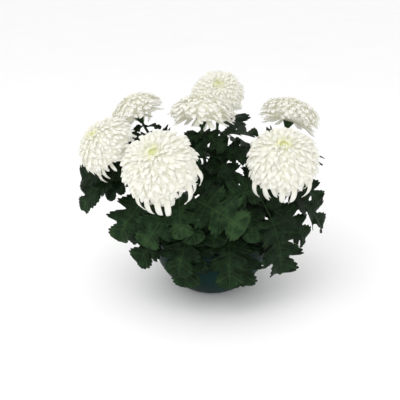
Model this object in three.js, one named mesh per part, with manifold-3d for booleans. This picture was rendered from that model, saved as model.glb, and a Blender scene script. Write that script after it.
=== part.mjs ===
// A potted florist's chrysanthemum: seven big double white blooms on leafy
// stems, growing from soil in a round glazed bowl.
// Millimetres, +Z up, origin in the middle of the underside of the pot.
// +X is to the right and -Y is the side the two biggest blooms lean towards.

import * as THREE from 'three';
import { mergeVertices } from 'three/addons/utils/BufferGeometryUtils.js';
import Module from 'manifold-3d';

const wasm = await Module();
wasm.setup();

// ---------------------------------------------------------------- sizes

const CLEARANCE = 0.3;          // gap between pieces that touch

// pot
const POT_HEIGHT = 96;
const POT_FOOT_RADIUS = 51;
const POT_RIM_RADIUS = 95;
const POT_BELLY = 2.7;          // how early the side swells, 1 is a plain cone
const POT_WALL = 2.8;
const POT_LIP = 3.6;            // how far the rolled rim stands out
const POT_FLOOR = 5;            // floor thickness over the foot
const FOOT_RECESS = 2.5;        // depth of the recess under the floor
const FOOT_RING_WIDTH = 7;
const FOOT_BOSS_RADIUS = 14;
const POT_SEGMENTS = 28;
const POT_LEVELS = [0, 14, 30, 52, 84];   // heights between which the wall is straight
const DRAIN_RADIUS = 4;
const DRAIN_CIRCLE = 29;
const DRAIN_COUNT = 6;
const DRAIN_CUT = 20;           // length of the drill, half of it above the bench

// soil
const SOIL_EDGE = 76;           // height of the soil at the wall
const SOIL_CROWN = 81;          // height of the soil round the stems
const STEM_FOOT = 52;           // how deep the cut stems stand
const STRAIGHT_TO = 86;         // the stems leave the soil upright

// stems
const STEM_RADIUS_LOW = 3.0;
const STEM_RADIUS_TOP = 2.1;
const STEM_SIDES = 5;
const STEM_STEPS = 8;
const CALYX_HEIGHT = 10;
const CALYX_RADIUS = 9;         // for a bloom of 50 mm radius
const CALYX_SIDES = 8;
const CALYX_SINK = 2;           // how far the calyx reaches down over its stem

// blooms
// Rings of petals from the eye outwards: how many, and their age (0 in the
// eye, 1 at the outermost ring).  Blooms under BIG_BLOOM have one less a ring.
const PETAL_RINGS = [[5, 0.09], [8, 0.25], [9, 0.44], [9, 0.64], [8, 0.92]];
const BIG_BLOOM = 50;
// Section of a bloom's solid core, from the stem up, in radii.
const CORE_UNDERSIDE = -1.5;    // its flat underside, in mm
const CORE_SECTION = [[0.58, -0.05], [0.70, 0.06], [0.66, 0.22], [0.48, 0.42], [0.16, 0.54]];
const CORE_FLAT = 0.20;
const CORE_SIDES = 10;
// Rows along a petal from root to tip: share of its length, share of its width.
const INNER_ROWS = [[0, 0.2], [0.6, 1], [1, 0]];
const OUTER_ROWS = [[0, 0.25], [0.55, 0.9], [0.84, 0.85], [1, 0]];
// Shares of a bloom's radius, and a petal's thickness as a share of its width.
const DOME_DEPTH = 0.74;
const PETAL_WIDTH = 0.36;
const STRAY_WIDTH = 0.2;
const PETAL_KEEL = 0.2;
// The eye of young florets, in radii.
const HEART_RADIUS = 0.15;
const HEART_HALF_HEIGHT = 0.16;
const HEART_LEVEL = 0.66;

// leaves
const LEAF_HALF_WIDTH = 0.37;   // of the blade's length
const LEAF_THICKNESS = 1.0;
const LEAF_FOLD = 0.22;         // how far the halves rise from the midrib
const LEAF_RIPPLE = 0.09;       // of the half width, up and down along the margin
const PETIOLE_WIDTH = 2.6;
const SHORTEST_STALK = 0.12;    // of the leaf's whole length
const LEAF_CLEARANCE = 0.35;    // kept round a leaf on each side

// Each rib of the leaf: where it leaves the midrib, where it meets the
// margin (both along the blade) and how far out that is.  The low values
// are the notches between the lobes.
const LEAF_RIBS = [
  [0.11, 0.13, 0.64],
  [0.24, 0.35, 0.94],
  [0.34, 0.43, 0.62],
  [0.50, 0.64, 1.00],
  [0.62, 0.71, 0.64],
  [0.78, 0.87, 0.60],
];

// Blooms: the middle of the widest ring of petals, the way the bloom faces,
// its radius, and where its stem leaves the soil.  Strays are single outer
// petals: their bearing round the bloom in degrees, reach and drop in radii.
// A bloom with a dome under 1 is flatter by that much.
const BLOOMS = [
  {
    name: 'front_left',
    ring: [-74, -118, 242],
    facing: [-0.24, -0.556, 0.796],
    radius: 55,
    dome: 1,
    foot: [-14, -22],
    strays: [
      [352, 1.22, 0.30], [18, 1.12, 0.22], [238, 1.02, 0.62],
      [262, 1.0, 0.66], [284, 1.02, 0.62], [305, 1.08, 0.5],
    ],
    seed: 11,
  },
  {
    name: 'front_right',
    ring: [98, -92, 242],
    facing: [-0.07, -0.44, 0.894],
    radius: 52,
    dome: 1,
    foot: [16, -20],
    strays: [
      [215, 1.10, 0.52], [232, 0.98, 0.60], [272, 0.98, 0.56],
      [300, 1.0, 0.60], [335, 1.1, 0.42],
    ],
    seed: 23,
  },
  {
    name: 'left',
    ring: [-155, -48, 249],
    facing: [-0.62, -0.32, 0.72],
    radius: 47,
    dome: 1,
    foot: [-25, -5],
    strays: [[300, 0.98, 0.62]],
    seed: 37,
  },
  {
    name: 'back_left',
    ring: [-119, 44, 276],
    facing: [-0.45, 0.2, 0.87],
    radius: 42,
    dome: 0.9,
    foot: [-20, 14],
    strays: [[170, 1.05, 0.4]],
    seed: 41,
  },
  {
    name: 'back',
    ring: [11, 101, 291],
    facing: [-0.03, -0.61, 0.79],
    radius: 45,
    dome: 1,
    foot: [4, 25],
    strays: [],
    seed: 53,
  },
  {
    name: 'middle',
    ring: [-16, -17, 288],
    facing: [0.0, 0.25, 0.97],
    radius: 48,
    dome: 0.84,
    foot: [2, 2],
    strays: [[188, 1.18, 0.14], [262, 0.98, 0.34], [345, 1.04, 0.12]],
    seed: 67,
  },
  {
    name: 'right',
    ring: [124, 40, 269],
    facing: [0.28, 0.3, 0.91],
    radius: 47,
    dome: 0.84,
    foot: [21, 11],
    strays: [],
    seed: 79,
  },
];

// Leaves that hang where they are seen first: the stem they grow from, how
// far up it, the tip of the leaf, the length of the blade, how much the
// leaf arches (of its length) and how far it is rolled about its length.
const LEAVES = [
  ['front_left', 0.20, [-42, -122, 54], 80, 0.26, -8],
  ['front_right', 0.20, [6, -128, 56], 80, 0.26, 6],
  ['front_right', 0.24, [46, -112, 56], 78, 0.26, 8],
  ['front_left', 0.58, [46, -128, 150], 92, 0.16, 10],
  ['front_left', 0.66, [-44, -130, 138], 72, 0.22, 0],
  ['front_left', 0.52, [-99, -122, 122], 78, 0.20, -5],
  ['front_left', 0.30, [-113, -97, 79], 78, 0.20, 0],
  ['front_left', 0.26, [-82, -112, 74], 80, 0.24, 0],
  ['front_left', 0.44, [-25, -112, 112], 74, 0.22, 12],
  ['left', 0.50, [-140, -98, 118], 84, 0.20, 0],
  ['left', 0.68, [-157, -64, 170], 56, 0.18, 8],
  ['left', 0.78, [-196, -64, 161], 66, 0.20, 0],
  ['left', 0.32, [-132, -40, 92], 84, 0.20, 0],
  ['left', 0.42, [-112, -66, 150], 64, 0.16, 0],
  ['front_right', 0.58, [103, -92, 58], 92, 0.22, 0],
  ['front_right', 0.46, [146, -58, 90], 80, 0.18, 0],
  ['front_right', 0.70, [10, -96, 178], 66, 0.16, 0],
  ['front_right', 0.34, [84, -92, 70], 66, 0.22, 0],
  ['front_right', 0.40, [58, -112, 122], 62, 0.20, 0],
  ['right', 0.48, [178, -20, 92], 86, 0.18, 0],
  ['right', 0.62, [168, -26, 150], 66, 0.16, 0],
  ['right', 0.82, [84, 4, 258], 40, 0.12, 0],
  ['right', 0.44, [88, -54, 150], 66, 0.14, 0],
  ['right', 0.34, [108, -44, 128], 74, 0.18, 0],
  ['middle', 0.93, [-27, -50, 220], 58, 0.20, 0],
  ['middle', 0.94, [-48, -38, 246], 46, 0.16, 0],
  ['middle', 0.72, [36, -54, 190], 60, 0.20, 0],
  ['middle', 0.86, [74, -4, 250], 66, 0.14, -35],
  ['middle', 0.95, [16, -46, 214], 52, 0.20, 0],
  ['middle', 0.62, [-8, -74, 164], 62, 0.18, 0],
  ['middle', 0.16, [2, -106, 96], 76, 0.22, 0],
  ['middle', 0.66, [-36, -60, 178], 58, 0.18, 0],
  ['back', 0.68, [64, 10, 196], 70, 0.16, 0],
  ['right', 0.70, [54, -26, 168], 66, 0.16, 0],
  ['right', 0.90, [40, -6, 188], 66, 0.14, 0],
  ['middle', 0.80, [50, -10, 206], 62, 0.16, 0],
  ['back', 0.46, [56, -24, 150], 76, 0.16, 0],
  ['back', 0.62, [-46, 30, 232], 62, 0.14, 0],
  ['back_left', 0.80, [-66, -2, 256], 40, 0.12, 0],
  ['back_left', 0.58, [-50, -18, 196], 62, 0.14, 0],
];

// Stems that carry further leaves round the back and sides, how many each
// has, and the bearings of the lowest and highest of them.
const SIDE_LEAVES = [
  ['back', 3, 45, 135],
  ['back_left', 3, 110, 190],
  ['right', 3, 5, 100],
  ['left', 2, 160, 185],
];
const SIDE_LEAF_REACH = 92;
const SIDE_LEAF_FALL = 34;
const SIDE_LEAF_BLADE = 82;
const SIDE_LEAF_ARCH = 0.22;

// A leaf that would touch another piece is lifted (mm) and swung (degrees)
// by the first of these that clears it.
const BENDS = [
  [0, 0], [8, 0], [-8, 0], [0, 10], [0, -10], [8, 10], [8, -10], [-8, 10], [-8, -10],
  [16, 0], [-16, 0], [0, 20], [0, -20], [16, 15], [16, -15], [-16, 15], [-16, -15],
  [26, 0], [-26, 0], [26, 25], [26, -25],
];

// ---------------------------------------------------------------- helpers

function drawFrom(seed) {
  let state = seed;
  return () => {
    state = (state * 48271) % 2147483647;
    return state / 2147483647;
  };
}

function smoothstep(low, high, x) {
  const t = Math.min(1, Math.max(0, (x - low) / (high - low)));
  return t * t * (3 - 2 * t);
}

function toSolid(geometry) {
  const bare = geometry.clone();
  bare.deleteAttribute('normal');
  bare.deleteAttribute('uv');
  const merged = mergeVertices(bare, 1e-5);
  return new wasm.Manifold(new wasm.Mesh({
    numProp: 3,
    vertProperties: new Float32Array(merged.attributes.position.array),
    triVerts: new Uint32Array(merged.index.array),
  }));
}

function toGeometry(solid) {
  const mesh = solid.getMesh();
  const geometry = new THREE.BufferGeometry();
  geometry.setAttribute('position', new THREE.BufferAttribute(mesh.vertProperties, 3));
  geometry.setIndex(new THREE.BufferAttribute(mesh.triVerts, 1));
  geometry.computeVertexNormals();
  return geometry;
}

// The largest body of a union, without crumbs or closed pockets.
function mainBody(solid) {
  const bodies = solid.decompose().filter((body) => body.volume() > 0);
  bodies.sort((a, b) => b.volume() - a.volume());
  return bodies[0];
}

function join(solids) {
  return solids.reduce((whole, solid) => whole.add(solid));
}

// Moves every vertex of a geometry by a rule.
function reshape(geometry, rule) {
  const position = geometry.attributes.position;
  const point = new THREE.Vector3();
  for (let i = 0; i < position.count; i += 1) {
    point.fromBufferAttribute(position, i);
    const moved = rule(point);
    position.setXYZ(i, moved.x, moved.y, moved.z);
  }
  return geometry;
}

function bareTemplate(geometry) {
  geometry.deleteAttribute('normal');
  geometry.deleteAttribute('uv');
  return mergeVertices(geometry, 1e-5);
}

function lathe(profile, segments) {
  const points = profile.map(([r, z]) => new THREE.Vector2(r, z));
  return new THREE.LatheGeometry(points, segments).rotateX(Math.PI / 2);
}

function paint(name, geometry, colour, roughness, metalness = 0) {
  const material = new THREE.MeshStandardMaterial({ color: colour, roughness, metalness });
  const mesh = new THREE.Mesh(geometry, material);
  mesh.name = name;
  return mesh;
}

// ---------------------------------------------------------------- pot and soil

function potRadius(z) {
  const swell = 1 - (1 - Math.min(z / 90, 1)) ** POT_BELLY;
  return POT_FOOT_RADIUS + (POT_RIM_RADIUS - POT_FOOT_RADIUS) * swell;
}

// Inner radius of the wall, which is straight between its levels.
function wallRadius(z) {
  const top = POT_LEVELS.findIndex((level) => level >= z);
  const [low, high] = [POT_LEVELS[Math.max(top - 1, 0)], POT_LEVELS[top]];
  const share = high > low ? (z - low) / (high - low) : 0;
  return THREE.MathUtils.lerp(potRadius(low), potRadius(high), share) - POT_WALL;
}

function makePot() {
  const outside = POT_LEVELS.slice(1).map((z) => [potRadius(z), z]);
  const inside = POT_LEVELS.slice(1).map((z) => [wallRadius(z), z]).reverse();
  const profile = [
    [0, 0],
    [FOOT_BOSS_RADIUS, 0],
    [FOOT_BOSS_RADIUS + 1, FOOT_RECESS],
    [POT_FOOT_RADIUS - FOOT_RING_WIDTH - 1, FOOT_RECESS],
    [POT_FOOT_RADIUS - FOOT_RING_WIDTH, 0],
    [POT_FOOT_RADIUS, 0],
    [potRadius(4), 4],
    ...outside,
    [POT_RIM_RADIUS + POT_LIP, POT_HEIGHT - 8],
    [POT_RIM_RADIUS + POT_LIP, POT_HEIGHT - 2],
    [POT_RIM_RADIUS, POT_HEIGHT],
    [POT_RIM_RADIUS - POT_WALL, POT_HEIGHT - 3],
    ...inside,
    [wallRadius(POT_FLOOR), POT_FLOOR],
    [0, POT_FLOOR],
  ];
  let solid = toSolid(lathe(profile, POT_SEGMENTS));
  for (let i = 0; i < DRAIN_COUNT; i += 1) {
    const turn = ((i + 0.5) / DRAIN_COUNT) * Math.PI * 2;
    const hole = new THREE.CylinderGeometry(DRAIN_RADIUS, DRAIN_RADIUS, DRAIN_CUT, 8);
    hole.rotateX(Math.PI / 2);
    hole.translate(DRAIN_CIRCLE * Math.cos(turn), DRAIN_CIRCLE * Math.sin(turn), 0);
    solid = solid.subtract(toSolid(hole));
  }
  return solid;
}

function makeSoil() {
  const bottom = POT_FLOOR + CLEARANCE;
  const levels = [bottom, ...POT_LEVELS.filter((z) => z > bottom && z < SOIL_EDGE), SOIL_EDGE];
  const profile = [
    [0, bottom],
    ...levels.map((z) => [wallRadius(z) - CLEARANCE, z]),
    [0, SOIL_CROWN],
  ];
  let solid = toSolid(lathe(profile, POT_SEGMENTS / 2));
  const holeFloor = STEM_FOOT - CLEARANCE;
  const holeTop = SOIL_CROWN + 10;
  for (const bloom of BLOOMS) {
    const radius = STEM_RADIUS_LOW + CLEARANCE;
    const hole = new THREE.CylinderGeometry(radius, radius, holeTop - holeFloor, STEM_SIDES);
    hole.rotateX(Math.PI / 2);
    hole.rotateZ(Math.PI / 2);
    hole.translate(bloom.foot[0], bloom.foot[1], (holeTop + holeFloor) / 2);
    solid = solid.subtract(toSolid(hole));
  }
  return solid;
}

// ---------------------------------------------------------------- blooms

// The bloom's own frame: Z out of its face, X level.
function bloomFrame(bloom) {
  const face = new THREE.Vector3(...bloom.facing).normalize();
  const level = new THREE.Vector3(0, 0, 1).cross(face).normalize();
  const rise = new THREE.Vector3().crossVectors(face, level);
  const base = new THREE.Vector3(...bloom.ring).addScaledVector(face, -0.1 * bloom.radius);
  return { face, level, rise, base };
}

// Side view of one petal as a curve of (distance from the axis, height),
// both in radii.  Age runs from 0 in the eye to 1 at the outermost ring.
function petalCurve(age, draws, dome) {
  const polar = Math.acos(0.99 - 1.37 * age ** 1.1) + 0.05 * draws[0];
  const size = 1 + 0.03 * draws[1];
  const depth = polar < Math.PI / 2 ? DOME_DEPTH * dome : 0.9;
  const tip = new THREE.Vector2(size * Math.sin(polar), 0.1 + size * depth * Math.cos(polar));
  const root = new THREE.Vector2(0.15 * Math.sqrt(age), 0.1 * (1 - age));
  const reach = tip.clone().sub(root);
  const heading = Math.atan2(reach.x, reach.y);
  // Inner petals leave the core well outwards and hook in over the eye; the
  // outermost ones rise first and then hang.
  const outer = smoothstep(0.8, 1, age);
  const bulging = Math.min(heading + THREE.MathUtils.degToRad(46), THREE.MathUtils.degToRad(92));
  const rising = heading - THREE.MathUtils.degToRad(30);
  const leave = THREE.MathUtils.lerp(bulging, rising, outer);
  const hook = 80 + 35 * (1 - age) ** 3 - 132 * outer + 10 * draws[2];
  const arrive = heading - THREE.MathUtils.degToRad(hook);
  const length = reach.length();
  const first = root.clone().add(
    new THREE.Vector2(Math.sin(leave), Math.cos(leave)).multiplyScalar(0.45 * length),
  );
  const second = tip.clone().sub(
    new THREE.Vector2(Math.sin(arrive), Math.cos(arrive)).multiplyScalar(0.4 * length),
  );
  return new THREE.CubicBezierCurve(root, first, second, tip);
}

// A long outer petal that stands out and then hangs.
function strayCurve(reach, drop) {
  return new THREE.CubicBezierCurve(
    new THREE.Vector2(0.15, 0),
    new THREE.Vector2(0.55, 0.12),
    new THREE.Vector2(reach, 0.1),
    new THREE.Vector2(reach * 0.97, -drop),
  );
}

// A petal is a long three-sided wedge bent along its curve: flat inside,
// keeled outside.  It starts inside the core at `from`.
function makePetal(curve, radius, turn, width, from, rows) {
  const steps = rows.length - 1;
  const geometry = bareTemplate(new THREE.ConeGeometry(1, 1, 3, steps));
  const along = new THREE.Vector2();
  return reshape(geometry, ({ x, y, z }) => {
    const [share, spread] = rows[Math.round((y + 0.5) * steps)];
    const u = from + (1 - from) * share;
    const taper = Math.max(0.5 - y, 1e-9);
    curve.getPoint(u, along);
    const tangent = curve.getTangent(u);
    const side = ((x / taper) / Math.sin(Math.PI / 3)) * (width / 2) * spread;
    const keel = (((z / taper) + 0.5) / 1.5) * width * PETAL_KEEL * spread;
    const out = along.x * radius + keel * tangent.y;
    const up = along.y * radius - keel * tangent.x;
    return new THREE.Vector3(
      out * Math.cos(turn) - side * Math.sin(turn),
      out * Math.sin(turn) + side * Math.cos(turn),
      up,
    );
  });
}

function makeBloom(bloom) {
  const draw = drawFrom(bloom.seed);
  const R = bloom.radius;
  const crown = CORE_SECTION[CORE_SECTION.length - 1][1] * bloom.dome;
  const core = toSolid(lathe([
    [0, CORE_UNDERSIDE],
    [CORE_FLAT * R, CORE_UNDERSIDE],
    ...CORE_SECTION.map(([r, z]) => [r * R, z * R * bloom.dome]),
    [0, crown * R],
  ], CORE_SIDES));
  const petals = [];
  PETAL_RINGS.forEach(([full, age], ring) => {
    const count = R < BIG_BLOOM && ring > 0 ? full - 1 : full;
    for (let i = 0; i < count; i += 1) {
      const draws = [0, 1, 2, 3].map(() => draw() * 2 - 1);
      const turn = ((i + 0.12 * draws[3]) / count + 0.185 * ring) * Math.PI * 2;
      const width = R * (PETAL_WIDTH + 0.02 * age);
      const from = 0.38 - 0.08 * smoothstep(0.6, 0.9, age);
      const rows = age < 0.5 ? INNER_ROWS : OUTER_ROWS;
      const curve = petalCurve(age, draws, bloom.dome);
      petals.push(toSolid(makePetal(curve, R, turn, width, from, rows)));
    }
  });
  for (const [bearing, reach, drop] of bloom.strays) {
    const turn = THREE.MathUtils.degToRad(bearing);
    const curve = strayCurve(reach, drop);
    petals.push(toSolid(makePetal(curve, R, turn, STRAY_WIDTH * R, 0.3, OUTER_ROWS)));
  }
  return mainBody(join([core, ...petals]).subtract(heartSolid(bloom, CLEARANCE)));
}

// The young florets in the eye: a ribbed bud on the top of the core.
function heartSolid(bloom, grow) {
  const R = bloom.radius;
  const bud = bareTemplate(new THREE.SphereGeometry(1, 10, 4).rotateX(Math.PI / 2));
  return toSolid(reshape(bud, ({ x, y, z }) => {
    const rib = Math.abs(z) > 0.9 ? 0 : 0.12 * Math.cos(5 * Math.atan2(y, x) + 2 * z);
    const across = HEART_RADIUS * R * (1 + rib) + grow;
    const up = HEART_LEVEL * bloom.dome * R + z * (HEART_HALF_HEIGHT * R + grow);
    return new THREE.Vector3(x * across, y * across, up);
  }));
}

// ---------------------------------------------------------------- stems

// How far the calyx stays below the base of its bloom.
const CALYX_DROP = CLEARANCE - CORE_UNDERSIDE;

// A stem leaves the soil upright and bends over to meet its bloom square on.
function stemCurve(bloom) {
  const { face, base } = bloomFrame(bloom);
  const foot = new THREE.Vector3(bloom.foot[0], bloom.foot[1], STRAIGHT_TO);
  const top = base.clone().addScaledVector(face, -CALYX_DROP - CALYX_HEIGHT);
  const length = foot.distanceTo(top);
  return new THREE.CubicBezierCurve3(
    foot,
    foot.clone().add(new THREE.Vector3(0, 0, 0.42 * length)),
    top.clone().addScaledVector(face, -0.32 * length),
    top,
  );
}

function makeStem(bloom) {
  const curve = stemCurve(bloom);
  const { face, level, rise, base } = bloomFrame(bloom);
  const tube = bareTemplate(new THREE.CylinderGeometry(1, 1, 1, STEM_SIDES, STEM_STEPS));
  const shaped = reshape(tube, ({ x, y, z }) => {
    const step = Math.round((y + 0.5) * STEM_STEPS);
    if (step === 0) {
      return new THREE.Vector3(
        bloom.foot[0] + z * STEM_RADIUS_LOW,
        bloom.foot[1] + x * STEM_RADIUS_LOW,
        STEM_FOOT,
      );
    }
    const u = (step - 1) / (STEM_STEPS - 1);
    const tangent = curve.getTangent(u);
    const across = new THREE.Vector3(0, 1, 0).cross(tangent).normalize();
    const back = new THREE.Vector3().crossVectors(tangent, across);
    const radius = STEM_RADIUS_LOW + (STEM_RADIUS_TOP - STEM_RADIUS_LOW) * u;
    return curve.getPoint(u)
      .addScaledVector(across, z * radius)
      .addScaledVector(back, x * radius);
  });
  const cupHeight = CALYX_HEIGHT + CALYX_SINK;
  const cup = bareTemplate(new THREE.CylinderGeometry(1, 0.28, cupHeight, CALYX_SIDES, 1));
  const calyx = reshape(cup, ({ x, y, z }) => {
    const radius = CALYX_RADIUS * bloom.radius / 50;
    return base.clone()
      .addScaledVector(face, y - CALYX_DROP - cupHeight / 2)
      .addScaledVector(level, z * radius)
      .addScaledVector(rise, x * radius);
  });
  return toSolid(shaped).add(toSolid(calyx));
}

// ---------------------------------------------------------------- leaves

// A flat blade, two halves wide, whose upper and lower face are split into
// triangles alike, so that they keep their distance however it is waved.
function bladeTemplate(rows) {
  const box = new THREE.BoxGeometry(2, 1, 1, 2, rows, 1);
  const lower = box.groups[5];
  for (let i = lower.start; i < lower.start + lower.count; i += 6) {
    const [first, second, fourth, , third] = box.index.array.slice(i, i + 6);
    box.index.array.set([first, second, third, first, third, fourth], i);
  }
  return bareTemplate(box);
}

const leafTemplate = bladeTemplate(LEAF_RIBS.length + 2);

// The path of a leaf from its stem to its tip, and its level side.
function leafPath(root, tip, arch, roll) {
  const reach = tip.clone().sub(root);
  const outward = new THREE.Vector3(root.x + tip.x, root.y + tip.y, 0).normalize();
  const front = root.y + tip.y < 60 ? -0.5 : 0;
  const upward = outward.multiplyScalar(0.4).add(new THREE.Vector3(0, front, 1));
  const side = reach.clone().cross(upward).normalize();
  side.applyAxisAngle(reach.clone().normalize(), THREE.MathUtils.degToRad(roll));
  const lift = side.clone().cross(reach);
  const bend = root.clone().lerp(tip, 0.55).addScaledVector(lift, arch * 1.6);
  return { curve: new THREE.QuadraticBezierCurve3(root, bend, tip), side, length: reach.length() };
}

// A lobed blade on a flat stalk.  `grow` thickens it for testing clearance.
function makeLeaf(root, tip, blade, arch, roll, wave, grow) {
  const { curve, side, length } = leafPath(root, tip, arch, roll);
  const stalk = Math.max(SHORTEST_STALK, 1 - blade / length);
  const last = LEAF_RIBS.length + 2;
  const halfWidth = LEAF_HALF_WIDTH * (1 - stalk) * length;
  const geometry = leafTemplate.clone();
  return reshape(geometry, ({ x, y, z }) => {
    const row = Math.round((y + 0.5) * last);
    let along = 0;
    let out = PETIOLE_WIDTH / 2;
    let ripple = 0;
    if (row === 1) {
      along = stalk;
    } else if (row === last) {
      along = 1;
      out = 0.05 * halfWidth;
    } else if (row > 1) {
      const [inner, margin, reach] = LEAF_RIBS[row - 2];
      along = stalk + (1 - stalk) * (x === 0 ? inner : margin);
      out = reach * halfWidth;
      ripple = LEAF_RIPPLE * halfWidth * Math.sin(1.9 * row + wave + x);
    }
    const tangent = curve.getTangent(along);
    const normal = side.clone().cross(tangent);
    const rise = Math.abs(x) * (LEAF_FOLD * out + ripple);
    return curve.getPoint(along)
      .addScaledVector(side, x * (out + grow))
      .addScaledVector(normal, rise + z * (LEAF_THICKNESS + 2 * grow));
  });
}

// Whether a leaf meets its own stem nowhere but along its stalk.
function meetsOnlyAt(root, blade, tip, meeting) {
  const length = root.distanceTo(tip);
  const stalk = Math.max(SHORTEST_STALK * length, length - blade);
  const { min, max } = meeting.boundingBox();
  const corners = [new THREE.Vector3(...min), new THREE.Vector3(...max)];
  return corners.every((corner) => root.distanceTo(corner) < 1.3 * stalk);
}

// All leaves as [stem, share of the way up, tip, blade, arch, roll].
function leafList() {
  const list = [...LEAVES];
  for (const [name, count, lowBearing, highBearing] of SIDE_LEAVES) {
    const bloom = BLOOMS.find((one) => one.name === name);
    const curve = stemCurve(bloom);
    for (let i = 0; i < count; i += 1) {
      const up = 0.2 + 0.55 * (i / (count - 1));
      const weave = count > 2 ? (i * 0.618) % 1 : i;
      const bearing = THREE.MathUtils.degToRad(lowBearing + (highBearing - lowBearing) * weave);
      const root = curve.getPoint(up);
      list.push([name, up, [
        root.x + SIDE_LEAF_REACH * Math.cos(bearing),
        root.y + SIDE_LEAF_REACH * Math.sin(bearing),
        root.z - SIDE_LEAF_FALL,
      ], SIDE_LEAF_BLADE, SIDE_LEAF_ARCH, 0]);
    }
  }
  return list;
}

// ---------------------------------------------------------------- assembly

const plant = new THREE.Group();
plant.name = 'pot_chrysanthemum';

const pot = makePot();
const soil = makeSoil();
plant.add(paint('pot', toGeometry(pot), '#1f3a38', 0.28));
plant.add(paint('soil', toGeometry(soil), '#2b2119', 0.95));

const inTheWay = [pot, soil];
for (const bloom of BLOOMS) {
  const { face, level, rise, base } = bloomFrame(bloom);
  const placed = new THREE.Matrix4().makeBasis(level, rise, face).setPosition(base);
  const head = toGeometry(makeBloom(bloom));
  const eye = toGeometry(heartSolid(bloom, 0));
  for (const [name, geometry, colour] of [
    [`bloom_${bloom.name}`, head, '#f3f1e2'],
    [`heart_${bloom.name}`, eye, '#d3d88c'],
  ]) {
    const mesh = paint(name, geometry, colour, 0.6);
    mesh.applyMatrix4(placed);
    plant.add(mesh);
  }
  inTheWay.push(toSolid(head.clone().applyMatrix4(placed)));
}

const stems = new Map(BLOOMS.map((bloom) => [bloom.name, makeStem(bloom)]));

// Fuses a leaf into its stem at the first bend that keeps it clear.
function addLeaf([name, up, tipAt, blade, arch, roll], index) {
  const bloom = BLOOMS.find((one) => one.name === name);
  const root = stemCurve(bloom).getPoint(up);
  const others = BLOOMS.filter((one) => one.name !== name).map((one) => stems.get(one.name));
  for (const [lift, swing] of BENDS) {
    const tip = new THREE.Vector3(...tipAt).sub(root);
    tip.applyAxisAngle(new THREE.Vector3(0, 0, 1), THREE.MathUtils.degToRad(swing));
    tip.add(root);
    tip.z += lift;
    const shape = [root, tip, blade, arch, roll, index];
    const wide = toSolid(makeLeaf(...shape, LEAF_CLEARANCE));
    const clear = [...inTheWay, ...others].every((other) => wide.intersect(other).isEmpty());
    if (clear && meetsOnlyAt(root, blade, tip, wide.intersect(stems.get(name)))) {
      stems.set(name, stems.get(name).add(toSolid(makeLeaf(...shape, 0))));
      return;
    }
  }
  throw new Error(`no room for leaf ${index} of stem ${name}`);
}

leafList().forEach(addLeaf);

for (const [name, solid] of stems) {
  plant.add(paint(`stem_${name}`, toGeometry(mainBody(solid)), '#24402a', 0.62));
}

export default plant;
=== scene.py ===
"""A flowering pot chrysanthemum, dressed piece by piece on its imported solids."""

import math

import bpy
import numpy as np
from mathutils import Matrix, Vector, noise


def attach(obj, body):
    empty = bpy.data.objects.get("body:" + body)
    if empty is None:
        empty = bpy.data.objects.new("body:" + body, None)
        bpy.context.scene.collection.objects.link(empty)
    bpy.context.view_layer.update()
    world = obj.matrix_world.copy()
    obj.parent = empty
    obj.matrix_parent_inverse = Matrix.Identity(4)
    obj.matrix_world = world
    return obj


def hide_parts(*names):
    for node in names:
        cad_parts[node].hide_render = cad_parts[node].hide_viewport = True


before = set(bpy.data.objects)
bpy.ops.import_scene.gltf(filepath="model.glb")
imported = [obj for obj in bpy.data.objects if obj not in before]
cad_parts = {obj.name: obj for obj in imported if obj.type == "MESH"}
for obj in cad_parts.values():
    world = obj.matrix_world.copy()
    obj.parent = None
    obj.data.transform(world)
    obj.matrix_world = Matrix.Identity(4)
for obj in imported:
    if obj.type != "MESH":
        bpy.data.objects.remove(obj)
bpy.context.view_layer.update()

bl_info = {
    "name": "Pot Chrysanthemum",
    "version": (1, 0, 0),
    "blender": (4, 5, 0),
    "location": "View3D > Sidebar > Chrysanthemum",
    "description": "Fine petals, leaves, stems, soil and a glazed bowl for a pot chrysanthemum",
    "category": "Object",
}

MM = 0.001
GOLDEN = math.radians(137.50776)

# ---- The plant's sizes, in millimetres and degrees where nothing else is said ----

# The main sizes and every place are those of the solids.
CLEARANCE = 0.3
POT = {"height": 96, "foot": 51, "rim": 95, "full_at": 90, "belly": 2.7, "wall": 2.8,
       "lip": 3.6, "floor": 5, "recess": 2.5, "ring": 7, "boss": 14}
DRAINS = {"radius": 4, "circle": 29, "count": 6, "sides": 32, "drill": 10}
SOIL = {"edge": 76, "crown": 81, "reach": 90, "stem_foot": 52, "straight_to": 86,
        "sides": 120, "rows": 56}
# The lumps and grains of the soil: size per millimetre, slice of the noise, height.
SOIL_LUMPS = [(0.11, 3.1, 1.5), (0.42, 7.7, 0.9)]
CRUMBS = {"reach": 84, "seed": 4711}
# The stem's rise and nod, and the length of a swelling, in shares of its length.
STEM = {"low": 3.0, "top": 2.1, "rise": 0.42, "nod": 0.32, "buried_to": 70, "swelling": 0.7,
        "swelling_length": 0.018, "ribs": 6, "rib_depth": 0.045, "sides": 18}
# The calyx has this radius under a bloom of the radius `under`.
CALYX = {"height": 10, "radius": 9, "under": 50, "drop": 1.8, "sink": 2}
# The bud in the eye, in radii of the bloom.
HEART = {"radius": 0.15, "half_height": 0.16, "level": 0.66}
# The bracts of the calyx, tier by tier: how many, and where they start and
# end in shares of its height.
BRACTS = [(9, 0.05, 0.62), (11, 0.25, 0.86), (13, 0.45, 1.04)]

# A head in radii: how far its widest ring lies over its base, its depth above
# and below that, and the height and breadth of its crest.
HEAD = {"base": 0.1, "above": 0.74, "below": 0.9, "crest": 0.06, "crest_breadth": 0.5}
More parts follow.
